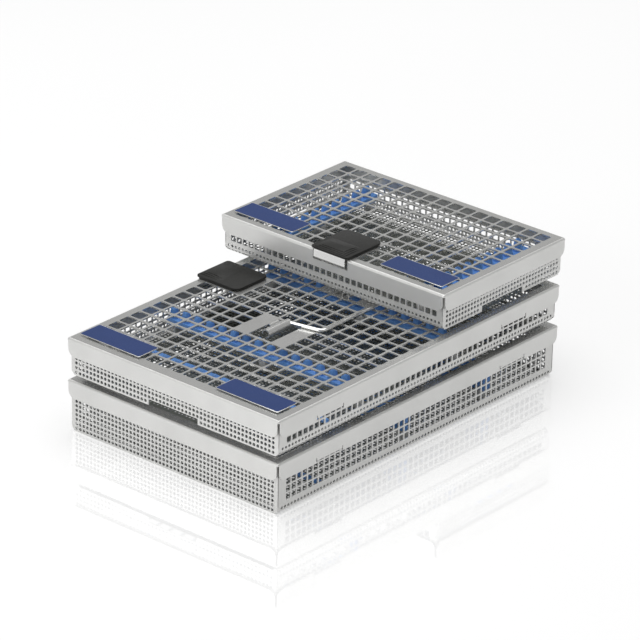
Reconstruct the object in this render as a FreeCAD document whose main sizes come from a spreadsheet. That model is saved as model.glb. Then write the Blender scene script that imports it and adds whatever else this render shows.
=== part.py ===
"""Stack of three perforated steel sterilization containers.

Each container is a folded sheet tray with a lift-off lid.  A lid is one sheet: a grid of
square holes, turned-down skirts that are open at the corners, and curled clips for a wire
handle.  A black slider on the lid carries a steel hook that locks into the tray's wall.
A deep and a shallow large container stand below a small one that is turned a quarter.

Every container is drawn in its own frame: origin at the middle of the tray's base, the
long side along X, the latch on the +Y side.  Lengths are in millimetres.
"""
import FreeCAD, Part
import math
import os

import Sketcher

os.makedirs("parts", exist_ok=True)
doc = FreeCAD.newDocument("sterilization_containers")

SIZES = (
    ("large_length", 275.0, "large lid along X"),
    ("large_width", 177.0, "large lid along Y"),
    ("small_length", 188.0, "small lid along its long side"),
    ("small_width", 124.0, "small lid along its short side"),
    ("deep_height", 35.4, "deep container, base to lid top"),
    ("shallow_height", 25.4, "shallow container, base to lid top"),
    ("small_height", 25.4, "small container, base to lid top"),
    ("small_across", 84.3, "small container's middle, along the large one's X"),
    ("small_along", 9.1, "small container's middle, along the large one's Y"),
    ("seat_clearance", 0.1, "between a tray and the latch and clips it stands on"),
    ("sheet", 0.8, "steel sheet of trays and lids"),
    ("lid_overlap", 2.2, "from the skirt's outer face to the tray wall's outer face"),
    ("skirt_depth", 12.0, "turned-down skirt of a lid"),
    ("skirt_bend", 1.6, "outer radius of the bend along a lid's edge"),
    ("skirt_corner", 5.0, "rounding of a skirt's lower corners"),
    ("corner_slit", 0.35, "gap beyond the sheet at a lid's open corner"),
    ("tray_bend", 5.5, "outer radius of the bend between tray wall and floor"),
    ("notch_width", 41.0, "notch in the lower edge of an end wall"),
    ("notch_height", 4.0, "height of that notch"),
    ("hole_pitch", 10.3, "square hole to square hole on a lid"),
    ("hole_web", 1.6, "steel left between two holes of a lid"),
    ("hole_border", 5.0, "least plain border round the holes of a lid"),
    ("large_join", 2.0, "holes of a large lid taken together, each way"),
    ("small_join", 1.0, "holes of the small lid taken together, each way"),
    ("field_columns", 3.0, "columns of holes left out for a plain field"),
    ("latch_field_rows", 3.0, "rows left out under the latch"),
    ("clip_field_rows", 4.0, "rows left out round a clip"),
    ("clip_field_place", 4.0, "columns from the lid's middle to a clip's plain field"),
    ("wall_pitch", 25.6, "window to window along a long wall"),
    ("wall_web", 1.12, "steel between two windows of a long wall"),
    ("wall_border", 5.0, "least plain border beside the windows of a long wall"),
    ("window_drop", 1.6, "from the skirt's lower edge down to the first windows"),
    ("deep_window", 14.2, "height of the windows in the deep long walls"),
    ("shallow_window", 4.0, "height of the windows in the shallow long walls"),
    ("end_pitch", 20.4, "window to window across an end wall"),
    ("end_web", 4.2, "steel between two windows of an end wall"),
    ("end_foot", 5.4, "from the base up to the windows of an end wall"),
    ("tab_spread", 89.6, "middle of the lid to a snap tab"),
    ("tab_width", 23.8, "snap tab along the skirt"),
    ("tab_slit", 0.7, "slit beside a snap tab"),
    ("tab_slit_height", 3.6, "height of that slit"),
    ("tab_lift", 1.7, "snap tab's edge above the skirt's edge"),
    ("latch_width", 31.0, "latch slider along the edge"),
    ("latch_length", 35.5, "latch slider across the edge"),
    ("latch_rise", 3.5, "top of the latch above the lid"),
    ("latch_proud", 1.6, "slider's end past the skirt"),
    ("latch_travel", 2.0, "way from open to locked"),
    ("latch_corner", 4.0, "rounded corners of the slider"),
    ("latch_step", 1.1, "slider's low ends below its crown"),
    ("latch_grip", 16.0, "slider's outer end to the slope behind its crown"),
    ("latch_slope", 3.5, "that slope along the slider"),
    ("latch_slope_drop", 0.7, "that slope's fall"),
    ("slide_gap", 0.1, "running clearance of the latch and the handle"),
    ("hook_width", 26.0, "steel hook along the edge"),
    ("hook_reach", 24.0, "hook's leg inward from the skirt"),
    ("hook_drop", 6.8, "hook's toe below the lid top"),
    ("hook_toe", 1.8, "toe from the hook's inner face"),
    ("hook_play", 0.7, "room round the toe in the wall's slot"),
    ("window_play", 1.5, "room beside the hook in the skirt's window"),
    ("rivet_spread", 9.0, "rivet from the middle of the latch"),
    ("rivet_inset", 18.0, "rivets from the skirt's outer face"),
    ("rivet_radius", 1.5, "rivet shank"),
    ("backing_border", 3.0, "backing plate's edge from the middle of a rivet"),
    ("backing_height", 1.0, "thickness of the backing plate"),
    ("rivet_bite", 2.1, "rivet shank's way into the slider"),
    ("wire_radius", 1.25, "handle wire"),
    ("wire_bend", 4.0, "bend of the wire beside the grip, at its middle line"),
    ("handle_reach", 25.0, "pivot to grip"),
    ("clip_length", 22.0, "curled clip along its pin"),
    ("pin_length", 19.8, "pin of the handle inside a clip"),
    ("clip_middle", 38.5, "middle of the lid to the middle of a clip"),
    ("arm_gap", 4.0, "from a clip's end to the arm's middle line"),
    ("clip_root", 13.0, "from the pin to where the clip's sheet leaves the lid"),
    ("clip_front", 10.0, "from the pin to the far edge of the clip's cut-out"),
    ("clip_side", 0.6, "gap beside the clip in its cut-out"),
    ("label_length", 51.0, "label plate along the lid's edge"),
    ("label_width", 18.5, "label plate across the lid's edge"),
    ("label_sheet", 1.0, "label plate's thickness"),
    ("label_gap", 0.3, "lid to the label plate's underside"),
    ("label_inset", 7.6, "lid's edge to the label plate"),
    ("label_middle", 57.2, "half the way between the label plates of a large lid"),
    ("small_label_middle", 62.1, "half the way between the label plates of the small lid"),
    ("label_shift", 2.0, "both label plates towards the left one, from the lid's middle"),
    ("tongue_width", 5.0, "tongue that holds a label plate in a hole of the grid"),
    ("tongue_drop", 2.2, "that tongue below the label plate"),
    ("rack_notch", 5.0, "depth of the notches in a silicone rack"),
    ("rack_pitch", 13.0, "notch to notch"),
    ("rack_gap", 7.0, "width of a notch at the top"),
    ("rack_taper", 1.4, "a notch's side from top to bottom"),
    ("deep_rack", 24.0, "height of the racks in the deep tray"),
    ("shallow_rack", 15.0, "height of the racks in the shallow trays"),
    ("rack_end", 2.0, "rack's end to the tray's wall"),
    ("wide_rack", 23.0, "wide rack"),
    ("medium_rack", 12.0, "medium rack"),
    ("narrow_rack", 8.0, "narrow rack"),
    ("deep_left_rack", -87.0, "place of the deep tray's left rack"),
    ("deep_middle_rack", -5.5, "place of the deep tray's middle rack"),
    ("deep_right_rack", 72.5, "place of the deep tray's right rack"),
    ("shallow_left_rack", -80.0, "place of the shallow tray's left rack"),
    ("shallow_middle_rack", -50.0, "place of the shallow tray's middle rack"),
    ("shallow_right_rack", 44.5, "place of the shallow tray's right rack"),
    ("small_left_rack", -74.5, "place of the small tray's left rack"),
    ("small_right_rack", 61.5, "place of the small tray's right rack"),
)


class Size:
    """A length that carries its number and the sheet expression it comes from."""

    def __init__(self, value, text=None):
        self.value = float(value)
        self.text = text or repr(self.value)

    def _combine(self, other, sign, value):
        return Size(value, f"({self.text} {sign} {other.text})")

    def __add__(self, other):
        other = as_size(other)
        return self._combine(other, "+", self.value + other.value)

    def __sub__(self, other):
        other = as_size(other)
        return self._combine(other, "-", self.value - other.value)

    def __mul__(self, other):
        other = as_size(other)
        return self._combine(other, "*", self.value * other.value)

    def __truediv__(self, other):
        other = as_size(other)
        return self._combine(other, "/", self.value / other.value)

    def __neg__(self):
        return Size(-self.value, f"(0 - {self.text})")

    def whole(self):
        """The length rounded down, as a count."""
        return Size(math.floor(self.value), f"floor({self.text})")


def as_size(value):
    return value if isinstance(value, Size) else Size(value)


class Sizes:
    """The driving dimensions, one attribute for each alias of the sheet."""


def fill_sheet():
    sheet = doc.addObject("Spreadsheet::Sheet", "Sizes")
    sizes = Sizes()
    for row, (alias, value, meaning) in enumerate(SIZES, start=1):
        sheet.set(f"A{row}", meaning)
        sheet.set(f"B{row}", str(value))
        sheet.setAlias(f"B{row}", alias)
        setattr(sizes, alias, Size(value, f"Sizes.{alias}"))
    doc.recompute()
    return sizes


S = fill_sheet()
ZERO = Size(0)
PAST = Size(1)


# Drawing helpers

def origin_feature(body, role):
    return next(item for item in body.Origin.OriginFeatures if item.Role == role)


def new_sketch(body, role, offset=ZERO):
    """A sketch on one of the body's own planes, moved along that plane's normal."""
    sketch = body.newObject("Sketcher::SketchObject", "Sketch")
    sketch.AttachmentSupport = [(origin_feature(body, role), "")]
    sketch.MapMode = "FlatFace"
    sketch.AttachmentOffset = FreeCAD.Placement(FreeCAD.Vector(0, 0, offset.value), FreeCAD.Rotation())
    sketch.setExpression("AttachmentOffset.Base.z", offset.text)
    return sketch


def bind(sketch, kind, *where, size):
    index = sketch.addConstraint(Sketcher.Constraint(kind, *where, size.value))
    sketch.setExpression(f"Constraints[{index}]", size.text)


def pin_point(sketch, geometry, point, x, y):
    bind(sketch, "DistanceX", -1, 1, geometry, point, size=x)
    bind(sketch, "DistanceY", -1, 1, geometry, point, size=y)


def draw(sketch, corners, closed=True):
    """Join the corners (x, y) or (x, y, radius); a corner with a radius becomes a tangent arc."""
    corners = [(as_size(c[0]), as_size(c[1]), c[2] if len(c) > 2 else None) for c in corners]
    points = [FreeCAD.Vector(c[0].value, c[1].value, 0) for c in corners]
    count = len(corners)
    ends = []
    for i, (_, _, radius) in enumerate(corners):
        if radius is None:
            ends.append((points[i], points[i]))
            continue
        back = (points[i - 1] - points[i]).normalize()
        ahead = (points[(i + 1) % count] - points[i]).normalize()
        cut = radius.value / math.tan(back.getAngle(ahead) / 2)
        ends.append((points[i] + back * cut, points[i] + ahead * cut))
    spans = range(count if closed else count - 1)
    lines = [
        sketch.addGeometry(Part.LineSegment(ends[i][1], ends[(i + 1) % count][0]), False) for i in spans
    ]
    for i, (x, y, radius) in enumerate(corners):
        before = lines[i - 1] if closed or i > 0 else None
        after = lines[i] if i < len(lines) else None
        if radius is None:
            if before is not None and after is not None:
                sketch.addConstraint(Sketcher.Constraint("Coincident", before, 2, after, 1))
            if after is not None:
                pin_point(sketch, after, 1, x, y)
            else:
                pin_point(sketch, before, 2, x, y)
        else:
            round_corner(sketch, points[i], ends[i], before, after, (x, y, radius))


def round_corner(sketch, corner, ends, before, after, sizes):
    start, finish = ends
    x, y, radius = sizes
    middle = (start + finish) * 0.5
    towards = (middle - corner).normalize()
    half_turn = (start - corner).getAngle(towards)
    centre = corner + towards * (radius.value / math.sin(half_turn))
    left = (corner - start).cross(finish - corner).z > 0
    first, last = (start, finish) if left else (finish, start)
    angles = [math.atan2(p.y - centre.y, p.x - centre.x) for p in (first, last)]
    circle = Part.Circle(centre, FreeCAD.Vector(0, 0, 1), radius.value)
    arc = sketch.addGeometry(Part.ArcOfCircle(circle, *angles), False)
    vertex = sketch.addGeometry(Part.Point(corner), True)
    sketch.addConstraint(Sketcher.Constraint("Tangent", before, 2, arc, 1 if left else 2))
    sketch.addConstraint(Sketcher.Constraint("Tangent", after, 1, arc, 2 if left else 1))
    sketch.addConstraint(Sketcher.Constraint("PointOnObject", vertex, 1, before))
    sketch.addConstraint(Sketcher.Constraint("PointOnObject", vertex, 1, after))
    bind(sketch, "Radius", arc, size=radius)
    pin_point(sketch, vertex, 1, x, y)


def draw_box(sketch, x0, y0, x1, y1):
    draw(sketch, [(x0, y0), (x1, y0), (x1, y1), (x0, y1)])


def draw_circle(sketch, x, y, radius):
    centre = FreeCAD.Vector(x.value, y.value, 0)
    circle = sketch.addGeometry(Part.Circle(centre, FreeCAD.Vector(0, 0, 1), radius.value), False)
    bind(sketch, "Radius", circle, size=radius)
    pin_point(sketch, circle, 3, x, y)


def extrude(body, kind, sketch, length=None, symmetric=False, back=False):
    """Pad or Pocket; without a length a Pocket goes through everything."""
    feature = body.newObject(f"PartDesign::{kind}", kind)
    feature.Profile = sketch
    feature.SideType = "Symmetric" if symmetric else "One side"
    feature.Reversed = back
    if length is None:
        feature.Type = "ThroughAll"
    else:
        feature.Length = length.value
        feature.setExpression("Length", length.text)
    return feature


def pad(body, sketch, length, **options):
    return extrude(body, "Pad", sketch, length, **options)


def pocket(body, sketch, length=None, **options):
    """Cut, and make sure that the cut really took something away."""
    doc.recompute()
    before = body.Shape.Volume
    feature = extrude(body, "Pocket", sketch, length, **options)
    doc.recompute()
    if not body.Shape.Volume < before:
        raise RuntimeError(f"a pocket of {body.Label} cuts nothing")
    return feature


def repeat(body, feature, axis, count, step, second=None):
    """Repeat a feature in a row, or in rows and columns."""
    pattern = body.newObject("PartDesign::LinearPattern", "Row")
    pattern.Originals = [feature]
    pattern.Refine = False
    rows = [("", axis, count, step)]
    if second:
        rows.append(("2", *second))
    for suffix, name, number, gap in rows:
        setattr(pattern, f"Direction{suffix}", (origin_feature(body, name), [""]))
        for prop, size in (("Length", (number - 1) * gap), ("Occurrences", number)):
            setattr(pattern, prop + suffix, int(size.value) if prop == "Occurrences" else size.value)
            pattern.setExpression(prop + suffix, size.text)
    body.Tip = pattern
    return pattern


def mirror(body, feature, role):
    mirrored = body.newObject("PartDesign::Mirrored", "Mirror")
    mirrored.Originals = [feature]
    mirrored.MirrorPlane = (origin_feature(body, role), [""])
    body.Tip = mirrored
    return mirrored


def fillet(body, radius, wanted):
    """Round every edge for which wanted(edge) is true."""
    doc.recompute()
    base = body.Tip
    names = [f"Edge{i}" for i, edge in enumerate(base.Shape.Edges, start=1) if wanted(edge)]
    if not names:
        raise RuntimeError(f"no edge of {body.Label} to round")
    feature = body.newObject("PartDesign::Fillet", "Fillet")
    feature.Base = (base, names)
    feature.Radius = radius.value
    feature.setExpression("Radius", radius.text)
    return feature


def spans_only(edge, axis, length=None):
    """Whether a straight edge runs along one axis, with the given length if there is one."""
    box = edge.BoundBox
    extent = {"x": box.XLength, "y": box.YLength, "z": box.ZLength}
    run = extent.pop(axis)
    tiny = 1e-6
    if max(extent.values()) > tiny or run < tiny:
        return False
    return length is None or abs(run - length.value) < tiny


# The three containers

class Container:
    """One tray with its lid: its sizes and where it stands."""

    def __init__(self, name, length, width, height, **details):
        self.name = name
        self.length = length
        self.width = width
        self.height = height
        self.wall_length = length - S.lid_overlap * 2
        self.wall_width = width - S.lid_overlap * 2
        self.base = details["base"]
        self.x = details.get("x", ZERO)
        self.y = details.get("y", ZERO)
        self.turn = details.get("turn", 0)
        self.join = details["join"]
        self.window = details["window"]
        self.large = details["large"]
        self.rack_height = details["rack_height"]
        self.racks = details["racks"]
        self.top = self.base + height

    def body(self, piece):
        """A new body that stands where this container stands."""
        body = doc.addObject("PartDesign::Body", f"{self.name}_{piece}")
        body.Label = f"{self.name}_{piece}"
        body.AllowCompound = True
        turn = FreeCAD.Rotation(FreeCAD.Vector(0, 0, 1), self.turn)
        place = FreeCAD.Vector(self.x.value, self.y.value, self.base.value)
        body.Placement = FreeCAD.Placement(place, turn)
        for axis, size in (("x", self.x), ("y", self.y), ("z", self.base)):
            body.setExpression(f"Placement.Base.{axis}", size.text)
        return body


STACK_GAP = S.latch_rise + S.seat_clearance


bottom = Container(
    "bottom", S.large_length, S.large_width, S.deep_height, base=ZERO, large=True, join=S.large_join,
    window=S.deep_window, rack_height=S.deep_rack,
    racks=(
        ("left", S.deep_left_rack, S.wide_rack),
        ("middle", S.deep_middle_rack, S.narrow_rack),
        ("right", S.deep_right_rack, S.medium_rack),
    ),
)
middle = Container(
    "middle", S.large_length, S.large_width, S.shallow_height, base=bottom.top + STACK_GAP, large=True,
    join=S.large_join, window=S.shallow_window, rack_height=S.shallow_rack,
    racks=(
        ("left", S.shallow_left_rack, S.wide_rack),
        ("middle", S.shallow_middle_rack, S.narrow_rack),
        ("right", S.shallow_right_rack, S.narrow_rack),
    ),
)
top = Container(
    "top", S.small_length, S.small_width, S.small_height, base=middle.top + STACK_GAP, large=False,
    x=S.small_across, y=S.small_along, turn=90, join=S.small_join,
    window=S.shallow_window, rack_height=S.shallow_rack,
    racks=(("left", S.small_left_rack, S.wide_rack), ("right", S.small_right_rack, S.narrow_rack)),
)


# Tray

def fit_count(span, border, pitch, web):
    """How many openings fit between two borders."""
    return ((span - border * 2 + web) / pitch).whole()


def build_tray(box):
    body = box.body("tray")
    half = box.wall_width / 2
    rim = box.height - S.sheet
    section = new_sketch(body, "YZ_Plane")
    draw(section, [(-half, rim), (-half, ZERO, S.tray_bend), (half, ZERO, S.tray_bend), (half, rim)])
    pad(body, section, box.wall_length, symmetric=True)
    inner = half - S.sheet
    bend = S.tray_bend - S.sheet
    hollow = new_sketch(body, "YZ_Plane")
    brim = rim + PAST
    draw(hollow, [(-inner, brim), (-inner, S.sheet, bend), (inner, S.sheet, bend), (inner, brim)])
    pocket(body, hollow, box.wall_length - S.sheet * 2, symmetric=True)
    cut_long_windows(body, box)
    cut_end_windows(body, box)
    cut_notches(body, box)
    cut_hook_slot(body, box)
    return body


def cut_long_windows(body, box):
    """Rows of square holes in the long walls, as one window for each group of squares."""
    columns = fit_count(box.wall_length, S.wall_border, S.wall_pitch, S.wall_web)
    head = box.height - S.skirt_depth - S.window_drop
    left = -(columns * S.wall_pitch - S.wall_web) / 2
    window = new_sketch(body, "XZ_Plane")
    draw_box(window, left, head - box.window, left + S.wall_pitch - S.wall_web, head)
    first = pocket(body, window, symmetric=True)
    repeat(body, first, "X_Axis", columns, S.wall_pitch)


def cut_end_windows(body, box):
    """The finely punched field of the end walls, as a row of windows."""
    columns = fit_count(box.wall_width, S.tray_bend, S.end_pitch, S.end_web)
    head = box.height - S.skirt_depth - S.window_drop
    left = -(columns * S.end_pitch - S.end_web) / 2
    window = new_sketch(body, "YZ_Plane")
    draw_box(window, left, S.end_foot, left + S.end_pitch - S.end_web, head)
    first = pocket(body, window, symmetric=True)
    repeat(body, first, "Y_Axis", columns, S.end_pitch)


def cut_notches(body, box):
    """A wide notch in the lower edge of both end walls."""
    notch = new_sketch(body, "YZ_Plane", box.wall_length / 2)
    draw_box(notch, -S.notch_width / 2, -PAST, S.notch_width / 2, S.notch_height)
    mirror(body, pocket(body, notch, S.sheet), "YZ_Plane")


def cut_hook_slot(body, box):
    """The slot in the latch side's wall that takes the toe of the hook."""
    half = S.hook_width / 2 + S.hook_play
    foot = box.height - S.hook_drop - S.hook_play
    slot = new_sketch(body, "XZ_Plane", -box.wall_width / 2)
    draw_box(slot, -half, foot, half, foot + S.sheet + S.hook_play * 2)
    pocket(body, slot, S.sheet, back=True)


# Lid

def grid_counts(box):
    pitch = S.hole_pitch * box.join
    return [fit_count(span, S.hole_border, pitch, S.hole_web) for span in (box.length, box.width)]


def build_lid(box):
    body = box.body("lid")
    foot = box.height - S.skirt_depth
    plate = new_sketch(body, "XY_Plane", foot)
    draw_box(plate, -box.length / 2, -box.width / 2, box.length / 2, box.width / 2)
    pad(body, plate, S.skirt_depth)
    top_level = box.height.value
    fillet(body, S.skirt_bend, lambda edge: abs(edge.BoundBox.ZMin - top_level) < 1e-6)
    inside = new_sketch(body, "XY_Plane", foot)
    inner_x = box.length / 2 - S.sheet
    inner_y = box.width / 2 - S.sheet
    draw_box(inside, -inner_x, -inner_y, inner_x, inner_y)
    pocket(body, inside, S.skirt_depth - S.sheet, back=True)
    open_corners(body, box, foot)
    if box.large:
        cut_snap_tabs(body, foot)
    cut_latch_window(body, box)
    punch_grid(body, box)
    fill_fields(body, box)
    cut_slots(body, box)
    if box.large:
        add_clips(body, box)
    return body


def open_corners(body, box, foot):
    """Slits at the four corners part the skirts, whose lower corners are rounded."""
    slit = S.sheet + S.corner_slit
    corners = new_sketch(body, "XY_Plane", foot)
    for side_x in (-1, 1):
        for side_y in (-1, 1):
            x = box.length / 2 * side_x
            y = box.width / 2 * side_y
            xs = sorted((x + PAST * side_x, x - slit * side_x), key=lambda size: size.value)
            ys = sorted((y + PAST * side_y, y - slit * side_y), key=lambda size: size.value)
            draw_box(corners, xs[0], ys[0], xs[1], ys[1])
    pocket(body, corners, S.skirt_depth - S.skirt_bend, back=True)

    def at_lower_corner(edge):
        low = abs(edge.BoundBox.ZMax - foot.value) < 1e-6
        return low and (spans_only(edge, "x", S.sheet) or spans_only(edge, "y", S.sheet))

    fillet(body, S.skirt_corner, at_lower_corner)


def cut_snap_tabs(body, foot):
    """Tabs in the long skirts: two slits each, with the edge between them a little higher."""
    tabs = new_sketch(body, "XZ_Plane")
    outer = S.tab_width / 2 + S.tab_slit
    inner = S.tab_width / 2
    for side in (-1, 1):
        middle_x = S.tab_spread * side
        draw(tabs, [
            (middle_x - outer, foot - PAST), (middle_x + outer, foot - PAST),
            (middle_x + outer, foot + S.tab_slit_height), (middle_x + inner, foot + S.tab_slit_height),
            (middle_x + inner, foot + S.tab_lift), (middle_x - inner, foot + S.tab_lift),
            (middle_x - inner, foot + S.tab_slit_height), (middle_x - outer, foot + S.tab_slit_height),
        ])
    pocket(body, tabs, symmetric=True)


def cut_latch_window(body, box):
    """The window in the skirt, and the notch above it, that the hook passes through."""
    half = S.hook_width / 2 + S.window_play
    depth = S.sheet * 2 + S.latch_travel + S.slide_gap
    window = new_sketch(body, "XY_Plane", box.height)
    draw_box(window, -half, box.width / 2 - depth, half, box.width / 2 + PAST)
    pocket(body, window, S.hook_drop + S.slide_gap * 4)


def punch_grid(body, box):
    columns, rows = grid_counts(box)
    pitch = S.hole_pitch * box.join
    left = -(columns * pitch - S.hole_web) / 2
    low = -(rows * pitch - S.hole_web) / 2
    hole = new_sketch(body, "XY_Plane", box.height)
    draw_box(hole, left, low, left + pitch - S.hole_web, low + pitch - S.hole_web)
    first = pocket(body, hole, S.sheet)
    repeat(body, first, "X_Axis", columns, pitch, ("Y_Axis", rows, pitch))


def fill_fields(body, box):
    """Plain fields in the grid, under the latch and round the handle's clips."""
    pitch = S.hole_pitch * box.join
    edge = grid_counts(box)[1] * pitch / 2
    fields = new_sketch(body, "XY_Plane", box.height)
    side = S.hole_pitch * S.field_columns / 2
    draw_box(fields, -side, edge - S.hole_pitch * S.latch_field_rows, side, edge)
    if box.large:
        reach = S.hole_pitch * S.clip_field_rows / 2
        for sign in (-1, 1):
            centre = S.hole_pitch * S.clip_field_place * sign
            draw_box(fields, centre - side, -reach, centre + side, reach)
    pad(body, fields, S.sheet, back=True)


def rivet_line(box):
    """Distance of the latch's rivets from the container's middle."""
    return box.width / 2 - S.rivet_inset


def cut_slots(body, box):
    """Two slots that let the latch's rivets slide, and the openings that free the clips."""
    slots = new_sketch(body, "XY_Plane", box.height)
    half = S.rivet_radius + S.slide_gap
    for sign in (-1, 1):
        x = S.rivet_spread * sign
        y = rivet_line(box)
        draw_box(slots, x - half, y - half - S.latch_travel, x + half, y + half)
    if box.large:
        for sign in (-1, 1):
            x = S.clip_middle * sign
            reach = S.clip_length / 2 + S.clip_side
            draw_box(slots, x - reach, -S.clip_front, x + reach, S.clip_root)
    pocket(body, slots, S.sheet)


def pin_height():
    """Height of the handle's pins above the lid's top face."""
    return S.wire_radius + S.slide_gap


def add_clips(body, box):
    """Tongues cut free from the lid and curled round the handle's pins."""
    inner = S.wire_radius + S.slide_gap
    outer = inner + S.sheet
    axis = box.height + pin_height()
    for sign in (-1, 1):
        clip = new_sketch(body, "YZ_Plane", S.clip_middle * sign)
        draw(clip, [
            (S.clip_root, axis - outer), (S.clip_root, axis - inner),
            (-inner, axis - inner, inner - S.slide_gap), (-inner, axis + inner, inner - S.slide_gap),
            (inner, axis + inner, inner - S.slide_gap), (inner, axis - S.sheet / 2),
            (outer, axis - S.sheet / 2), (outer, axis + outer, outer - S.slide_gap),
            (-outer, axis + outer, outer - S.slide_gap), (-outer, axis - outer, outer - S.slide_gap),
        ])
        pad(body, clip, S.clip_length, symmetric=True)


# Latch

def build_slider(box):
    """Black slider with a thumb wedge; a recess below holds the hook's leg."""
    body = box.body("latch_slider")
    deck = box.height + S.slide_gap
    crown = box.height + S.latch_rise
    outer = box.width / 2 + S.latch_proud
    inner = outer - S.latch_length
    low = crown - S.latch_step
    slope = outer - S.latch_grip
    side = new_sketch(body, "YZ_Plane")
    draw(side, [
        (inner, deck), (outer, deck), (outer, low), (outer - S.latch_corner, low),
        (outer - S.latch_corner - S.latch_step, crown), (slope, crown),
        (slope - S.latch_slope, crown - S.latch_slope_drop), (inner, low),
    ])
    pad(body, side, S.latch_width, symmetric=True)
    fillet(body, S.latch_corner, lambda edge: spans_only(edge, "z") and edge.BoundBox.XLength < 1e-6)
    recess = new_sketch(body, "XY_Plane", deck)
    half = S.hook_width / 2 + S.slide_gap
    draw_box(recess, -half, box.width / 2 - S.hook_reach - S.slide_gap, half, outer + PAST)
    pocket(body, recess, S.sheet, back=True)
    holes = new_sketch(body, "XY_Plane", deck)
    for sign in (-1, 1):
        draw_circle(holes, S.rivet_spread * sign, rivet_line(box), S.rivet_radius + S.slide_gap / 2)
    pocket(body, holes, S.slide_gap + S.rivet_bite, back=True)
    return body


def build_hook(box):
    """Bent steel strip: a leg under the slider, a face in the skirt's window and a toe."""
    body = box.body("latch_hook")
    under = box.height + S.slide_gap
    face = box.width / 2 + S.slide_gap
    toe = box.height - S.hook_drop
    strip = new_sketch(body, "YZ_Plane")
    bend = S.sheet
    draw(strip, [
        (box.width / 2 - S.hook_reach, under), (face, under), (face, toe + S.sheet),
        (face - S.hook_toe, toe + S.sheet), (face - S.hook_toe, toe), (face + S.sheet, toe),
        (face + S.sheet, under + S.sheet, bend), (box.width / 2 - S.hook_reach, under + S.sheet),
    ])
    pad(body, strip, S.hook_width, symmetric=True)
    holes = new_sketch(body, "XY_Plane", under + S.sheet)
    for sign in (-1, 1):
        draw_circle(holes, S.rivet_spread * sign, rivet_line(box), S.rivet_radius + S.slide_gap / 2)
    pocket(body, holes, S.sheet)
    return body


def build_rivets(box):
    """Backing plate below the lid, with the two rivets that hold slider and hook."""
    body = box.body("latch_rivets")
    head = box.height - S.sheet - S.slide_gap
    reach = S.rivet_spread + S.backing_border
    line = rivet_line(box)
    plate = new_sketch(body, "XY_Plane", head)
    draw_box(plate, -reach, line - S.backing_border, reach, line + S.backing_border)
    pad(body, plate, S.backing_height, back=True)
    shanks = new_sketch(body, "XY_Plane", head)
    for sign in (-1, 1):
        draw_circle(shanks, S.rivet_spread * sign, line, S.rivet_radius)
    pad(body, shanks, S.sheet + S.slide_gap * 2 + S.rivet_bite)
    return body


# Handle

def build_handle(box):
    """Wire bail: both pins point the same way, so it is slid into its two clips."""
    body = box.body("handle")
    level = box.height + pin_height()
    clip_end = S.clip_middle + S.clip_length / 2
    left_arm = -S.clip_middle + S.clip_length / 2 + S.arm_gap
    right_arm = clip_end + S.arm_gap
    path = new_sketch(body, "XY_Plane", level)
    left_start = -S.clip_middle + S.clip_length / 2 - S.pin_length
    draw(path, [
        (left_start, ZERO), (left_arm, ZERO), (left_arm, -S.handle_reach, S.wire_bend),
        (right_arm, -S.handle_reach, S.wire_bend), (right_arm, ZERO), (clip_end - S.pin_length, ZERO),
    ], closed=False)
    wire = new_sketch(body, "YZ_Plane", left_start)
    draw_circle(wire, ZERO, level, S.wire_radius)
    doc.recompute()
    pipe = body.newObject("PartDesign::AdditivePipe", "Wire")
    pipe.Profile = wire
    pipe.Spine = (path, [f"Edge{i}" for i in range(1, len(path.Shape.Edges) + 1)])
    pipe.Transition = "Right corner"
    return body


# Label plates

def label_places(box):
    """The middle of each label plate along the edge that carries the plates."""
    middle_place = S.label_middle if box.large else S.small_label_middle
    return (("left", S.label_shift + middle_place), ("right", S.label_shift - middle_place))


def label_area(box, place):
    """A label's corners: on a large lid the plates lie along its -X end, else along +Y."""
    half = S.label_length / 2
    far = S.label_inset + S.label_width
    if box.large:
        edge = -box.length / 2
        return edge + S.label_inset, place - half, edge + far, place + half
    edge = box.width / 2
    return place - half, edge - far, place + half, edge - S.label_inset


def build_label(box, name, place):
    """Thin plate just above the grid, with two tongues that reach down through its holes."""
    body = box.body(f"label_{name}")
    x0, y0, x1, y1 = label_area(box, place)
    under = box.height + S.label_gap
    plate = new_sketch(body, "XY_Plane", under)
    draw_box(plate, x0, y0, x1, y1)
    pad(body, plate, S.label_sheet)
    tongues = new_sketch(body, "XY_Plane", under)
    for along, across in tongue_places(box, place):
        x, y = (across, along) if box.large else (along, across)
        reach_x, reach_y = (S.sheet, S.tongue_width) if box.large else (S.tongue_width, S.sheet)
        draw_box(tongues, x - reach_x / 2, y - reach_y / 2, x + reach_x / 2, y + reach_y / 2)
    pad(body, tongues, S.tongue_drop, back=True)
    return body


def tongue_places(box, place):
    """The two holes of the grid under a label plate that its tongues use."""
    columns, rows = grid_counts(box)
    pitch = S.hole_pitch * box.join
    along_count, across_count = (rows, columns) if box.large else (columns, rows)
    first = (along_count - 1) / 2
    near = ((place - S.label_length / 4) / pitch + first + 0.5).whole() - first
    far = ((place + S.label_length / 4) / pitch + first + 0.5).whole() - first
    across = (across_count - 1) * pitch / 2
    if box.large:
        across = -across
    return ((near * pitch, across), (far * pitch, across))


# Silicone racks

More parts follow.
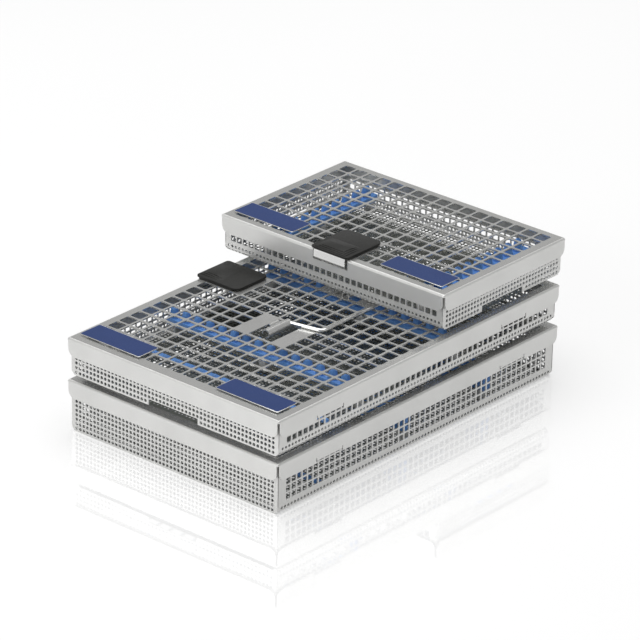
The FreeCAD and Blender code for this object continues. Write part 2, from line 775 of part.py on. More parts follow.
def build_rack(box, name, place, width):
    """A comb across the tray that stands on its floor."""
    body = box.body(f"rack_{name}")
    half = box.wall_width / 2 - S.sheet - S.rack_end - S.tray_bend / 2
    crown = S.sheet + box.rack_height
    bar = new_sketch(body, "YZ_Plane", place)
    draw_box(bar, -half, S.sheet, half, crown)
    pad(body, bar, width, symmetric=True)
    count = fit_count(half * 2, S.rack_end, S.rack_pitch, S.rack_pitch - S.rack_gap)
    left = -(count * S.rack_pitch - (S.rack_pitch - S.rack_gap)) / 2
    notch = new_sketch(body, "YZ_Plane", place)
    draw(notch, [
        (left, crown + PAST), (left, crown), (left + S.rack_taper, crown - S.rack_notch),
        (left + S.rack_gap - S.rack_taper, crown - S.rack_notch), (left + S.rack_gap, crown),
        (left + S.rack_gap, crown + PAST),
    ])
    first = pocket(body, notch, symmetric=True)
    repeat(body, first, "Y_Axis", count, S.rack_pitch)
    return body


def build_container(box):
    bodies = [build_tray(box), build_lid(box), build_slider(box), build_hook(box), build_rivets(box)]
    if box.large:
        bodies.append(build_handle(box))
    for name, place in label_places(box):
        bodies.append(build_label(box, name, place))
    for name, place, width in box.racks:
        bodies.append(build_rack(box, name, place, width))
    return bodies


def check_and_write(bodies):
    """Stop if anything failed to compute; then write one STEP file for each body."""
    doc.recompute()
    for item in doc.Objects:
        if "Invalid" in item.State or "Error" in item.State:
            raise RuntimeError(f"{item.Label} did not compute: {item.State}")
    for body in bodies:
        if body.Shape.isNull() or not body.Shape.isValid():
            raise RuntimeError(f"{body.Label} has no valid shape")
    for body in bodies:
        body.Shape.exportStep(os.path.join("parts", f"{body.Label}.step"))


pieces = [body for box in (bottom, middle, top) for body in build_container(box)]
check_and_write(pieces)
print(len(pieces), "pieces written")
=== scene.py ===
"""Looks of the stack of sterilization containers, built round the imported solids.

Every piece is drawn in millimetres in its container's own frame (origin at the middle of the
tray's base, long side along X, latch on the +Y side) and placed by that container's matrix.
"""

import math

import bmesh
import bpy
import numpy as np
from mathutils import Matrix, Vector


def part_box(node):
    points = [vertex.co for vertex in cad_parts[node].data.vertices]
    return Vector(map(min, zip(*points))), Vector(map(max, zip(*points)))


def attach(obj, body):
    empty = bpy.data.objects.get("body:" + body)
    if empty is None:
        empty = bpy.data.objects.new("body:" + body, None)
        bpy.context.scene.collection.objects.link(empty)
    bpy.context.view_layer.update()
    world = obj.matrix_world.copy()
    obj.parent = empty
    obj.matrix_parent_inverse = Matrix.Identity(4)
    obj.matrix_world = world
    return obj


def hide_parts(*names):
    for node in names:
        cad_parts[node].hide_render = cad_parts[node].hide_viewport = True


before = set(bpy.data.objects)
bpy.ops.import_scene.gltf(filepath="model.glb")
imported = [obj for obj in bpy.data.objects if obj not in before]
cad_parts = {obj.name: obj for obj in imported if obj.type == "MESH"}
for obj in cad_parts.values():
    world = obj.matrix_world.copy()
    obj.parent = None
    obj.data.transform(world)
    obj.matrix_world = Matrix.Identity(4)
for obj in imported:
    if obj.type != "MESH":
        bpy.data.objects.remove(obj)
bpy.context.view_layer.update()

MM = 0.001
QUARTER = math.pi / 2
SHEET = 0.8
SKIRT_DEPTH = 12.0
SKIRT_BEND = 1.6
TRAY_BEND = 3.0
OVERLAP = 2.2
WIRE_RADIUS = 1.25
RUNNING_GAP = 0.1
SMOOTH_ANGLE = math.radians(40)


# Materials

def new_material(name):
    material = bpy.data.materials.new(name)
    material.use_nodes = True
    nodes = material.node_tree.nodes
    return material, nodes, material.node_tree.links, nodes["Principled BSDF"]


def noise_node(nodes, links, scale, detail=3.0, stretch=(1, 1, 1)):
    """Noise in object coordinates, in metres, stretched along the axes."""
    place = nodes.new("ShaderNodeTexCoord")
    mapping = nodes.new("ShaderNodeMapping")
    mapping.inputs["Scale"].default_value = stretch
    noise = nodes.new("ShaderNodeTexNoise")
    noise.inputs["Scale"].default_value = scale
    noise.inputs["Detail"].default_value = detail
    links.new(place.outputs["Object"], mapping.inputs["Vector"])
    links.new(mapping.outputs["Vector"], noise.inputs["Vector"])
    return noise.outputs["Fac"]


def ramp_node(nodes, links, source, low, high, first=0.3, last=0.7):
    """Turn a factor into a range of greys or colours."""
    ramp = nodes.new("ShaderNodeValToRGB")
    ramp.color_ramp.elements[0].position = first
    ramp.color_ramp.elements[1].position = last
    ramp.color_ramp.elements[0].color = (*low, 1)
    ramp.color_ramp.elements[1].color = (*high, 1)
    links.new(source, ramp.inputs["Fac"])
    return ramp.outputs["Color"]


def bump_node(nodes, links, shader, height, strength, distance):
    bump = nodes.new("ShaderNodeBump")
    bump.inputs["Strength"].default_value = strength
    bump.inputs["Distance"].default_value = distance
    links.new(height, bump.inputs["Height"])
    links.new(bump.outputs["Normal"], shader.inputs["Normal"])


def grey(value):
    return (value, value, value)


STEEL_GRAIN, STEEL_CLOUD, STEEL_WAVE = 500.0, 35.0, 14.0
STEEL_SHADE, STEEL_WAVE_HEIGHT = 0.93, 0.002
PLAIN_CLOUD, PLAIN_BUMP, PLAIN_SPREAD = 60.0, 0.35, 0.15


def make_steel(name, colour, rough_low, rough_high, waviness, metallic=1.0):
    """Steel surface with a fine grain, slow clouds of shade and waves from rolling."""
    material, nodes, links, shader = new_material(name)
    shader.inputs["Metallic"].default_value = metallic
    grain = noise_node(nodes, links, STEEL_GRAIN, 2.0, (0.25, 1, 1))
    cloud = noise_node(nodes, links, STEEL_CLOUD, 2.0)
    darker = tuple(c * STEEL_SHADE for c in colour)
    links.new(ramp_node(nodes, links, cloud, darker, colour), shader.inputs["Base Color"])
    links.new(ramp_node(nodes, links, grain, grey(rough_low), grey(rough_high)), shader.inputs["Roughness"])
    wave = noise_node(nodes, links, STEEL_WAVE, 1.0)
    bump_node(nodes, links, shader, wave, waviness, STEEL_WAVE_HEIGHT)
    return material


def make_plain(name, colour, roughness, grain_scale, grain_depth, spread=0.12, gloss=0.5):
    """Moulded or coated surface with a fine grain and a slight variation of colour."""
    material, nodes, links, shader = new_material(name)
    shader.inputs["Specular IOR Level"].default_value = gloss
    cloud = noise_node(nodes, links, PLAIN_CLOUD, 3.0)
    darker = tuple(c * (1 - spread) for c in colour)
    lighter = tuple(min(1.0, c * (1 + spread)) for c in colour)
    links.new(ramp_node(nodes, links, cloud, darker, lighter), shader.inputs["Base Color"])
    grain = noise_node(nodes, links, grain_scale, 3.0)
    low, high = grey(roughness * (1 - PLAIN_SPREAD)), grey(min(1.0, roughness * (1 + PLAIN_SPREAD)))
    links.new(ramp_node(nodes, links, grain, low, high), shader.inputs["Roughness"])
    bump_node(nodes, links, shader, grain, PLAIN_BUMP, grain_depth)
    return material


STEEL = make_steel("sheet_steel", (0.67, 0.67, 0.655), 0.20, 0.24, 0.1, 0.75)
SKIRT_STEEL = make_steel("skirt_steel", (0.70, 0.70, 0.685), 0.33, 0.38, 0.1, 0.5)
TRAY_STEEL = make_steel("tray_steel", (0.69, 0.69, 0.675), 0.33, 0.39, 0.1, 0.45)
# The tray floor is the same steel as the walls, painted nearly black: painted shade of the closed tray's
# inside.
PAINTED_SHADE_FLOOR_STEEL = make_steel("floor_steel_painted_shade", (0.15, 0.16, 0.14), 0.3, 0.36, 0.1, 0.8)
POLISHED = make_steel("polished_steel", (0.80, 0.80, 0.79), 0.08, 0.12, 0.05)
BLACK = make_plain("black_plastic", (0.011, 0.011, 0.0095), 0.5, 1500.0, 0.00004, 0.1, 0.35)
BLUE = make_plain("blue_enamel", (0.018, 0.044, 0.16), 0.45, 1200.0, 0.00002, 0.04, 0.25)
SILICONE = make_plain("blue_silicone", (0.15, 0.35, 0.78), 0.45, 700.0, 0.00003, 0.08, 0.35)


# Containers and pieces

class Container:
    """One container's sizes and place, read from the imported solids."""

    def __init__(self, name, turned):
        self.name = name
        low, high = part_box(f"{name}_tray")
        lid_low, lid_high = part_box(f"{name}_lid")
        middle = (low + high) / 2
        self.matrix = Matrix.Translation((middle.x, middle.y, low.z))
        length, width = lid_high.x - lid_low.x, lid_high.y - lid_low.y
        if turned:
            self.matrix = self.matrix @ Matrix.Rotation(QUARTER, 4, "Z")
            length, width = width, length
        self.large = not turned
        self.length = length / MM
        self.width = width / MM
        self.height = (lid_low.z - low.z) / MM + SKIRT_DEPTH
        self.wall_length = self.length - 2 * OVERLAP
        self.wall_width = self.width - 2 * OVERLAP

    def local_box(self, node):
        """A solid's lowest and highest corner in this container's frame, in millimetres."""
        low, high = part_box(f"{self.name}_{node}")
        back = self.matrix.inverted()
        ends = [back @ low, back @ high]
        low = [min(a, b) / MM for a, b in zip(*ends)]
        high = [max(a, b) / MM for a, b in zip(*ends)]
        return low, high


class Piece:
    """One visible piece, gathered from several shapes in its container's frame."""

    def __init__(self, box, name, *materials):
        self.box = box
        self.name = f"{box.name}_{name}"
        self.materials = materials
        self.points = []
        self.faces = []
        self.numbers = []
        self.total = 0

    def add(self, points, faces, material=0):
        points = np.asarray(points, float)
        self.points.append(points)
        self.faces.extend([tuple(i + self.total for i in face) for face in faces])
        self.numbers.extend([material] * len(faces))
        self.total += len(points)

    def finish(self, body, slot, *nodes):
        """Make the object, let it ride on its body and stand for its solids."""
        points = np.vstack(self.points) * MM
        matrix = np.array(self.box.matrix)
        points = points @ matrix[:3, :3].T + matrix[:3, 3]
        mesh = bpy.data.meshes.new(self.name)
        mesh.from_pydata(points.tolist(), [], self.faces)
        for material in self.materials:
            mesh.materials.append(material)
        mesh.polygons.foreach_set("material_index", self.numbers)
        mesh.polygons.foreach_set("use_smooth", [True] * len(self.faces))
        mesh.set_sharp_from_angle(angle=SMOOTH_ANGLE)
        mesh.update()
        obj = bpy.data.objects.new(self.name, mesh)
        bpy.context.scene.collection.objects.link(obj)
        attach(obj, f"{self.box.name}_{body}")
        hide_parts(*[f"{self.box.name}_{node}" for node in nodes])
        return obj


BOTTOM = Container("bottom", False)
MIDDLE = Container("middle", False)
TOP = Container("top", True)


# Bent sections

def bend(radius, turn):
    """A bend of a section: its developed length and its turn, in radians, left if positive."""
    return radius * abs(turn), turn


def straight(length):
    return length, 0.0


class Profile:
    """A bent section in a plane, measured along its outer face from a start point."""

    def __init__(self, start, heading, runs, inner=1):
        """The sheet's inner face lies on the left of the run, or on the right where inner is -1."""
        self.inner = inner
        self.spans = []
        self.length = 0.0
        for length, turn in runs:
            self.spans.append((self.length, length, turn, start, heading))
            start = self.step(start, heading, length, turn, length)
            heading += turn
            self.length += length

    @staticmethod
    def step(start, heading, length, turn, part):
        """The place a part of the way along one run."""
        angle = heading + turn * part / length
        if turn:
            radius = length / turn
            ahead = radius * (np.sin(angle) - math.sin(heading))
            aside = radius * (math.cos(heading) - np.cos(angle))
        else:
            ahead = part * math.cos(heading)
            aside = part * math.sin(heading)
        return start[0] + ahead, start[1] + aside

    def at(self, s, depth=0.0):
        """Both coordinates at developed lengths s, a depth below the outer face."""
        s = np.asarray(s, float)
        across = np.zeros_like(s)
        along = np.zeros_like(s)
        tiny = 1e-6
        for first, length, turn, start, heading in self.spans:
            inside = s >= first - tiny
            part = s[inside] - first
            angle = heading + turn * part / length
            x, y = self.step(start, heading, length, turn, part)
            across[inside] = x - self.inner * depth * np.sin(angle)
            along[inside] = y + self.inner * depth * np.cos(angle)
        return across, along

    def lines(self, step_angle=0.26):
        """Developed lengths at which the section needs an edge."""
        marks = [0.0]
        for first, length, turn, _, _ in self.spans:
            count = max(1, math.ceil(abs(turn) / step_angle))
            marks.extend(first + length * k / count for k in range(1, count + 1))
        return marks


# Punched sheets

SOLID, EMPTY, HOLE = 0, 1, 2


def ring_template(count):
    """Faces round one hole: corner numbers 0 to 3 of the cell, then the hole's own points."""
    share = count // 4
    faces = []
    for corner in range(4):
        first = 4 + corner * share
        for k in range(share - 1):
            faces.append((corner, first + k + 1, first + k))
        following = 4 + (corner + 1) * share % count
        faces.append((corner, (corner + 1) % 4, following, first + share - 1))
    return faces


def square_hole(size, radius=0.0, steps=1):
    """Points of a square hole round its middle, anticlockwise from the lower left corner."""
    half = size / 2
    if not radius:
        return [(-half, -half), (half, -half), (half, half), (-half, half)]
    points = []
    for corner in range(4):
        middle = math.pi * (1.25 + corner * 0.5)
        x = (half - radius) * math.copysign(1, math.cos(middle))
        y = (half - radius) * math.copysign(1, math.sin(middle))
        for k in range(steps + 1):
            angle = middle - QUARTER / 2 + QUARTER * k / steps
            points.append((x + radius * math.cos(angle), y + radius * math.sin(angle)))
    return points


def round_hole(diameter, count=8):
    """Points of a round hole; the first share of them faces the cell's lower left corner."""
    start = -0.75 * math.pi - (count // 4 - 1) * math.pi / count
    turns = [start + 2 * math.pi * k / count for k in range(count)]
    return [(diameter / 2 * math.cos(a), diameter / 2 * math.sin(a)) for a in turns]


class Sheet:
    """A punched sheet drawn flat in (u, v) and folded by a function into space."""

    def __init__(self):
        self.points = []
        self.faces = []
        self.total = 0

    def add(self, points, faces):
        self.points.append(np.asarray(points, float))
        self.faces.extend([tuple(i + self.total for i in face) for face in faces])
        self.total += len(points)

    def grid(self, us, vs, kind=None, hole=()):
        """A grid of cells; kind(u, v) at a cell's middle says solid, empty or with a hole."""
        us, vs = np.asarray(us, float), np.asarray(vs, float)
        count_u = len(us)
        mesh_u, mesh_v = np.meshgrid(us, vs)
        points = np.column_stack([mesh_u.ravel(), mesh_v.ravel()]).tolist()
        template = ring_template(len(hole)) if hole else []
        faces = []
        for j in range(len(vs) - 1):
            for i in range(count_u - 1):
                a = j * count_u + i
                corners = (a, a + 1, a + count_u + 1, a + count_u)
                middle_u, middle_v = (us[i] + us[i + 1]) / 2, (vs[j] + vs[j + 1]) / 2
                cell = kind(middle_u, middle_v) if kind else SOLID
                if cell == SOLID:
                    faces.append(corners)
                elif cell == HOLE:
                    start = len(points) - 4
                    points.extend((middle_u + x, middle_v + y) for x, y in hole)
                    faces.extend(
                        tuple(corners[k] if k < 4 else start + k for k in face) for face in template
                    )
        self.add(points, faces)

    def zip(self, us_low, v_low, us_high, v_high):
        """A plain strip between two rows of points that differ."""
        low, high = list(us_low), list(us_high)
        points = [(u, v_low) for u in low] + [(u, v_high) for u in high]
        offset = len(low)
        i = j = 0
        faces = []
        while i < len(low) - 1 or j < len(high) - 1:
            next_low = low[i + 1] if i < len(low) - 1 else math.inf
            next_high = high[j + 1] if j < len(high) - 1 else math.inf
            if next_low <= next_high:
                faces.append((i, i + 1, offset + j))
                i += 1
            else:
                faces.append((i, offset + j + 1, offset + j))
                j += 1
        self.add(points, faces)

    def turned_over(self, total):
        """The same sheet mirrored at the middle of a section of this length."""
        flat = np.vstack(self.points)
        flat[:, 1] = total - flat[:, 1]
        other = Sheet()
        other.add(flat, [face[::-1] for face in self.faces])
        return other

    def fold(self, place, thickness=SHEET, flip=False):
        """Points and faces in space: weld doubles, drop loose points, add the inner face."""
        flat = np.vstack(self.points)
        outer = place(flat[:, 0], flat[:, 1], 0.0)
        _, first, index = np.unique(np.round(outer, 2), axis=0, return_index=True, return_inverse=True)
        index = index.ravel()
        faces = []
        for face in self.faces:
            corners = [int(index[i]) for i in face]
            kept = [c for k, c in enumerate(corners) if c != corners[k - 1]]
            if len(set(kept)) > 2:
                faces.append(kept[::-1] if flip else kept)
        used = sorted({c for face in faces for c in face})
        number = {c: k for k, c in enumerate(used)}
        faces = [tuple(number[c] for c in face) for face in faces]
        flat = flat[first[used]]
        if not thickness:
            return place(flat[:, 0], flat[:, 1], SHEET / 2), faces
        outer = place(flat[:, 0], flat[:, 1], 0.0)
        inner = place(flat[:, 0], flat[:, 1], thickness)
        count = len(flat)
        edges = {(face[k - 1], face[k]) for face in faces for k in range(len(face))}
        rim = [(b, a, a + count, b + count) for a, b in sorted(edges) if (b, a) not in edges]
        back = [tuple(c + count for c in face[::-1]) for face in faces]
        return np.vstack([outer, inner]), faces + back + rim


def lines(*parts):
    """Several runs of grid lines as one rising list."""
    return np.unique(np.round(np.concatenate([np.atleast_1d(p) for p in parts]), 4))


def even(count, pitch):
    """Grid lines of a number of cells, centred on zero."""
    return (np.arange(count + 1) - count / 2) * pitch


# Tray

SQUARE, SQUARE_PITCH, SQUARE_CORNER = 4.0, 5.12, 0.35
FINE, FINE_PITCH, FINE_MARGIN, FLOOR_HOLE = 2.0, 3.05, 1.0, 1.8
END_COLUMN_PITCH = 3.1
SHELL_INSET = 0.4
NOTCH_HALF, NOTCH_HEIGHT, NOTCH_WEB = 20.5, 4.0, 0.3
HOOK_SLOT_HALF = 13.7
HOOK_SLOT_DROP, HOOK_SLOT_HEIGHT = 5.3, 2.2
TRAY_HOLES = {
    "bottom": {"columns": 50, "squares": (10.5, 15.6, 20.7, 25.8), "fine": 32.2,
               "end_columns": 54, "end_first": 14.3, "end_rows": 7, "notched": False},
    "middle": {"columns": 50, "squares": (11.3, 16.4), "fine": 21.0,
               "end_columns": 54, "end_first": 13.4, "end_rows": 3, "notched": True},
    "top": {"columns": 34, "squares": (10.3, 15.4), "fine": 21.0,
            "end_columns": 37, "end_first": 13.3, "end_rows": 3, "notched": True},
}
END_HOLE = 2.3
END_FOOT = 0.7
RELIEF = 1.8


def tray_section(box):
    """The tray's section across, from one rim over the floor to the other."""
    rim = box.height - SHEET
    wall = rim - TRAY_BEND
    floor = box.wall_width - 2 * TRAY_BEND
    corner = bend(TRAY_BEND, QUARTER)
    runs = [straight(wall), corner, straight(floor), corner, straight(wall)]
    return Profile((-box.wall_width / 2, rim), -QUARTER, runs), wall


def wall_sheet(box, end, fine_us, fine_start, fine_rows, pitch, slotted):
    """One long wall: its squares, and below them the fine rows that go on round the bend."""
    holes = TRAY_HOLES[box.name]
    squares_us = even(holes["columns"], SQUARE_PITCH)
    field = squares_us[-1]
    squares_us = lines(-end, squares_us, end)
    centres = [depth - SHEET for depth in holes["squares"]]
    squares_vs = [centres[0] - SQUARE_PITCH / 2] + [c + SQUARE_PITCH / 2 for c in centres]
    sheet = Sheet()
    slot_top = HOOK_SLOT_DROP - SHEET
    slot_foot = slot_top + HOOK_SLOT_HEIGHT
    rim_us = [-end, -HOOK_SLOT_HALF, HOOK_SLOT_HALF, end]

    def in_slot(u, v):
        return EMPTY if slotted and abs(u) < HOOK_SLOT_HALF and v > slot_top else SOLID

    sheet.grid(rim_us, [0.0, slot_top, slot_foot], in_slot)
    sheet.zip(rim_us, slot_foot, squares_us, squares_vs[0])
    sheet.grid(squares_us, squares_vs, lambda u, v: HOLE if abs(u) < field else SOLID,
               square_hole(SQUARE, SQUARE_CORNER))
    sheet.zip(squares_us, squares_vs[-1], fine_us, fine_start)

    def fine_kind(u, v):
        """The corner is relieved: the sheet ends short where the bend meets the end wall."""
        if abs(u) < fine_us[-2]:
            return HOLE
        return EMPTY if v > fine_start + pitch else SOLID

    sheet.grid(fine_us, fine_start + np.arange(fine_rows + 1) * pitch, fine_kind, round_hole(FINE))
    return sheet


def add_shell(piece, box):
    """Long walls and floor of a tray as one folded sheet."""
    section, wall = tray_section(box)
    end = box.wall_length / 2 - SHELL_INSET
    columns = int((2 * end - 2 * FINE_MARGIN) / FINE_PITCH)
    fine_us = lines(-end, even(columns, FINE_PITCH), end)
    start = TRAY_HOLES[box.name]["fine"] - SHEET - FINE_PITCH / 2
    span = section.length - 2 * start
    rows = round(span / FINE_PITCH)
    pitch = span / rows
    bend_rows = math.ceil((wall + TRAY_BEND * QUARTER - start) / pitch)

    def place(u, v, depth):
        across, up = section.at(v, depth)
        return np.column_stack([u, across, up])

    near = wall_sheet(box, end, fine_us, start, bend_rows, pitch, False)
    far = wall_sheet(box, end, fine_us, start, bend_rows, pitch, True).turned_over(section.length)
    for sheet in (near, far):
        piece.add(*sheet.fold(place, flip=True))
    floor = Sheet()
    floor.grid(fine_us, start + np.arange(bend_rows, rows - bend_rows + 1) * pitch,
               lambda u, v: HOLE if abs(u) < fine_us[-2] else SOLID, square_hole(FLOOR_HOLE))
    # The floor takes material 1, its steel painted dark as painted shade.
    piece.add(*floor.fold(place, 0.0, flip=True), 1)


def add_end(piece, box, side):
    """An end wall: fine holes, relieved lower corners and on two trays a low notch."""
    holes = TRAY_HOLES[box.name]
    half = box.wall_width / 2
    rim = box.height - SHEET
    field = even(holes["end_columns"], END_COLUMN_PITCH)
    reach = field[-1]
    corner = half - TRAY_BEND + TRAY_BEND * np.sin(np.linspace(0, QUARTER, 9))
    corner = corner[corner > reach + 0.1]
    us = lines(-corner, field, corner)
    top = box.height - holes["end_first"] + END_COLUMN_PITCH / 2
    start = NOTCH_HEIGHT if holes["notched"] else END_FOOT
    upper = np.linspace(start, top, holes["end_rows"] + 1)
    relief = half - RELIEF
    sheet = Sheet()
    sheet.grid(us, upper, lambda u, v: HOLE if abs(u) < reach else SOLID, round_hole(END_HOLE))
    sheet.grid(us, [top, rim])
    low_us = lines(us, -relief, relief, *([-NOTCH_HALF, NOTCH_HALF] if holes["notched"] else []))
    low_vs = [0.0, END_FOOT]
    if holes["notched"]:
        low_vs += [NOTCH_HEIGHT - NOTCH_WEB, NOTCH_HEIGHT]

    def low_kind(u, v):
        if holes["notched"] and abs(u) < NOTCH_HALF or abs(u) > relief and v < END_FOOT:
            return EMPTY
        whole = holes["notched"] and NOTCH_HALF + END_COLUMN_PITCH / 2 < abs(u) < reach
        return HOLE if whole and END_FOOT < v < NOTCH_HEIGHT - NOTCH_WEB else SOLID

    sheet.grid(low_us, low_vs, low_kind, round_hole(END_HOLE))
    blend = TRAY_BEND + 1

    def place(u, v, depth):
        inward = np.clip((np.abs(u) - (half - TRAY_BEND)) / TRAY_BEND, 0, 1)
        foot = TRAY_BEND * (1 - np.sqrt(1 - inward ** 2))
        z = np.where(v < blend, foot + v * (blend - foot) / blend, v)
        return np.column_stack([np.full_like(u, side * (box.wall_length / 2 - depth)), u, z])

    piece.add(*sheet.fold(place, flip=side < 0))


def build_tray(box):
    piece = Piece(box, "tray_sheet", TRAY_STEEL, PAINTED_SHADE_FLOOR_STEEL)
    add_shell(piece, box)
    for side in (-1, 1):
        add_end(piece, box, side)
    return piece.finish("tray", "steel", "tray")


# Lid

HOLE_PITCH, HOLE_WEB, HOLE_CORNER, LID_BORDER = 10.3, 1.6, 1.2, 5.0
FIELD_COLUMNS, LATCH_FIELD_ROWS, CLIP_FIELD_ROWS, CLIP_FIELD_PLACE = 3, 3, 4, 4
CLIP_MIDDLE, CLIP_LENGTH, CLIP_ROOT, CLIP_FRONT = 38.5, 22.0, 9.0, 10.0
CLIP_INNER_SIDE, CLIP_OUTER_SIDE, CLIP_LEAF, CLIP_DIP = 0.6, 6.0, 9.0, 2.0
CLIP_SLOPE, CLIP_CURL, CLIP_TURN = math.radians(50), math.radians(285), 1.2
TAB_SPREAD, TAB_WIDTH, TAB_SLIT, TAB_SLIT_HEIGHT, TAB_LIFT = 89.6, 23.8, 0.7, 3.6, 1.7
SKIRT_CORNER, CORNER_SLIT = 5.0, 1.5
WINDOW_HALF, WINDOW_DEPTH, WINDOW_DROP = 14.5, 3.7, 7.2
RIVET_SPREAD, RIVET_INSET, RIVET_SLOT, LATCH_TRAVEL = 9.0, 18.0, 1.6, 2.0


def grid_counts(box):
    """Whole holes along and across a lid."""
    return [int((span - 2 * LID_BORDER + HOLE_WEB) / HOLE_PITCH) for span in (box.length, box.width)]


def field_boxes(box):
    """Plain fields of a lid: the latch's, and on a large lid those round both clips."""
    edge = grid_counts(box)[1] * HOLE_PITCH / 2
    side = FIELD_COLUMNS * HOLE_PITCH / 2
    fields = [(-side, edge - LATCH_FIELD_ROWS * HOLE_PITCH, side, edge)]
    if box.large:
        reach = CLIP_FIELD_ROWS * HOLE_PITCH / 2
        for sign in (-1, 1):
            centre = CLIP_FIELD_PLACE * HOLE_PITCH * sign
            fields.append((centre - side, -reach, centre + side, reach))
    return fields


def inside(area, u, v):
    return area[0] < u < area[2] and area[1] < v < area[3]


def add_plate(piece, box):
    """The lid's flat top: a grid of holes with plain fields, and a plain border."""
    columns, rows = grid_counts(box)
    us, vs = even(columns, HOLE_PITCH), even(rows, HOLE_PITCH)
    fields = field_boxes(box)
    sheet = Sheet()
    hole = square_hole(HOLE_PITCH - HOLE_WEB, HOLE_CORNER, 2)
    sheet.grid(us, vs, lambda u, v: EMPTY if any(inside(f, u, v) for f in fields) else HOLE, hole)
    line = box.width / 2 - RIVET_INSET
    slots = [
        (sign * RIVET_SPREAD - RIVET_SLOT, line - RIVET_SLOT - LATCH_TRAVEL,
         sign * RIVET_SPREAD + RIVET_SLOT, line + RIVET_SLOT)
        for sign in (-1, 1)
    ]
    inner = CLIP_MIDDLE - CLIP_LENGTH / 2 - CLIP_INNER_SIDE
    outer = CLIP_MIDDLE + CLIP_LENGTH / 2 + CLIP_OUTER_SIDE
    cuts = [(-outer, -CLIP_FRONT, -inner, CLIP_ROOT), (inner, -CLIP_FRONT, outer, CLIP_ROOT)]
    for number, field in enumerate(fields):
        openings = slots if number == 0 else [cuts[number - 1]]
        cut_us = [edge for opening in openings for edge in (opening[0], opening[2])]
        cut_vs = [openings[0][1], openings[0][3]]
        field_us = lines(us[(us > field[0] - 1) & (us < field[2] + 1)], cut_us)
        field_vs = lines(vs[(vs > field[1] - 1) & (vs < field[3] + 1)], cut_vs)
        sheet.grid(field_us, field_vs,
                   lambda u, v: EMPTY if any(inside(o, u, v) for o in openings) else SOLID)
    half_x = box.length / 2 - SKIRT_BEND
    half_y = box.width / 2 - SKIRT_BEND
    sheet.grid([-half_x, us[0]], lines(-half_y, vs, half_y))
    sheet.grid([us[-1], half_x], lines(-half_y, vs, half_y))
    sheet.grid(us, [-half_y, vs[0]])
    notch = box.width / 2 - WINDOW_DEPTH
    sheet.grid(lines(us[0], -WINDOW_HALF, WINDOW_HALF, us[-1]), [vs[-1], notch, half_y],
               lambda u, v: EMPTY if abs(u) < WINDOW_HALF and v > notch else SOLID)

    def place(u, v, depth):
        return np.column_stack([u, v, np.full_like(u, box.height - depth)])

    piece.add(*sheet.fold(place))


def add_skirt(piece, box, side):
    """One turned-down side: 0 faces -Y, 1 faces +X, 2 faces +Y with the latch, 3 faces -X."""
    along, out = (box.length / 2, box.width / 2) if side % 2 == 0 else (box.width / 2, box.length / 2)
    section = Profile(
        (out - SKIRT_BEND, box.height), 0.0,
        [bend(SKIRT_BEND, -QUARTER), straight(SKIRT_DEPTH - SKIRT_BEND)], inner=-1,
    )
    turn = side * QUARTER
    tangent = (math.cos(turn), math.sin(turn))
    outward = (math.sin(turn), -math.cos(turn))
    arc = SKIRT_BEND * QUARTER
    total = section.length
    end = along - CORNER_SLIT
    round_start = end - SKIRT_CORNER
    latch_side = side == 2
    tabbed = box.large and side % 2 == 0

    def put(t, n, z):
        return np.column_stack([t * tangent[0] + n * outward[0], t * tangent[1] + n * outward[1], z])

    def bent(t, v, depth):
        n, z = section.at(v, depth)
        return put(t, n, z)

    def hanging(t, v, depth):
        inward = np.clip((np.abs(t) - round_start) / SKIRT_CORNER, 0, 1)
        lift = SKIRT_CORNER * (1 - np.sqrt(1 - inward ** 2))
        return bent(t, arc + (v - arc) * (total - arc - lift) / (total - arc), depth)

    window = [-WINDOW_HALF, WINDOW_HALF] if latch_side else []
    top_us = lines(-(along - SKIRT_BEND), window, along - SKIRT_BEND)

    def top_kind(t, v):
        return EMPTY if latch_side and abs(t) < WINDOW_HALF else SOLID

    bent_sheet = Sheet()
    bent_sheet.grid(top_us, [v for v in section.lines() if v < arc + 0.01], top_kind)
    piece.add(*bent_sheet.fold(bent, flip=True), 1)
    corner = round_start + SKIRT_CORNER * np.sin(np.linspace(0, QUARTER, 7))
    marks = [-corner, corner, window]
    if tabbed:
        for sign in (-1, 1):
            middle = TAB_SPREAD * sign
            marks.append([middle + offset * edge for edge in (-1, 1)
                          for offset in (TAB_WIDTH / 2, TAB_WIDTH / 2 + TAB_SLIT)])
    window_foot = arc + WINDOW_DROP - SKIRT_BEND
    vs = lines(arc, arc + 0.4, window_foot, total - TAB_SLIT_HEIGHT, total - TAB_LIFT, total)

    def kind(t, v):
        if latch_side and abs(t) < WINDOW_HALF and v < window_foot:
            return EMPTY
        if not tabbed:
            return SOLID
        aside = abs(abs(t) - TAB_SPREAD) - TAB_WIDTH / 2
        if aside < 0:
            return EMPTY if v > total - TAB_LIFT else SOLID
        return EMPTY if aside < TAB_SLIT and v > total - TAB_SLIT_HEIGHT else SOLID

    sheet = Sheet()
    sheet.grid(lines(*marks), vs, kind)
    piece.add(*sheet.fold(hanging, flip=True), 1)


def add_corners(piece, box):
    """Each corner of the bend as an eighth of a ball."""
    for side_x in (-1, 1):
        for side_y in (-1, 1):
            sheet = Sheet()
            sheet.grid(np.linspace(0, QUARTER, 6), np.linspace(0, QUARTER, 6))

            def place(u, v, depth):
                reach = (SKIRT_BEND - depth) * np.cos(v)
                x = side_x * (box.length / 2 - SKIRT_BEND + reach * np.cos(u))
                y = side_y * (box.width / 2 - SKIRT_BEND + reach * np.sin(u))
                z = box.height - SKIRT_BEND + (SKIRT_BEND - depth) * np.sin(v)
                return np.column_stack([x, y, z])

            piece.add(*sheet.fold(place, flip=side_x * side_y < 0), 1)


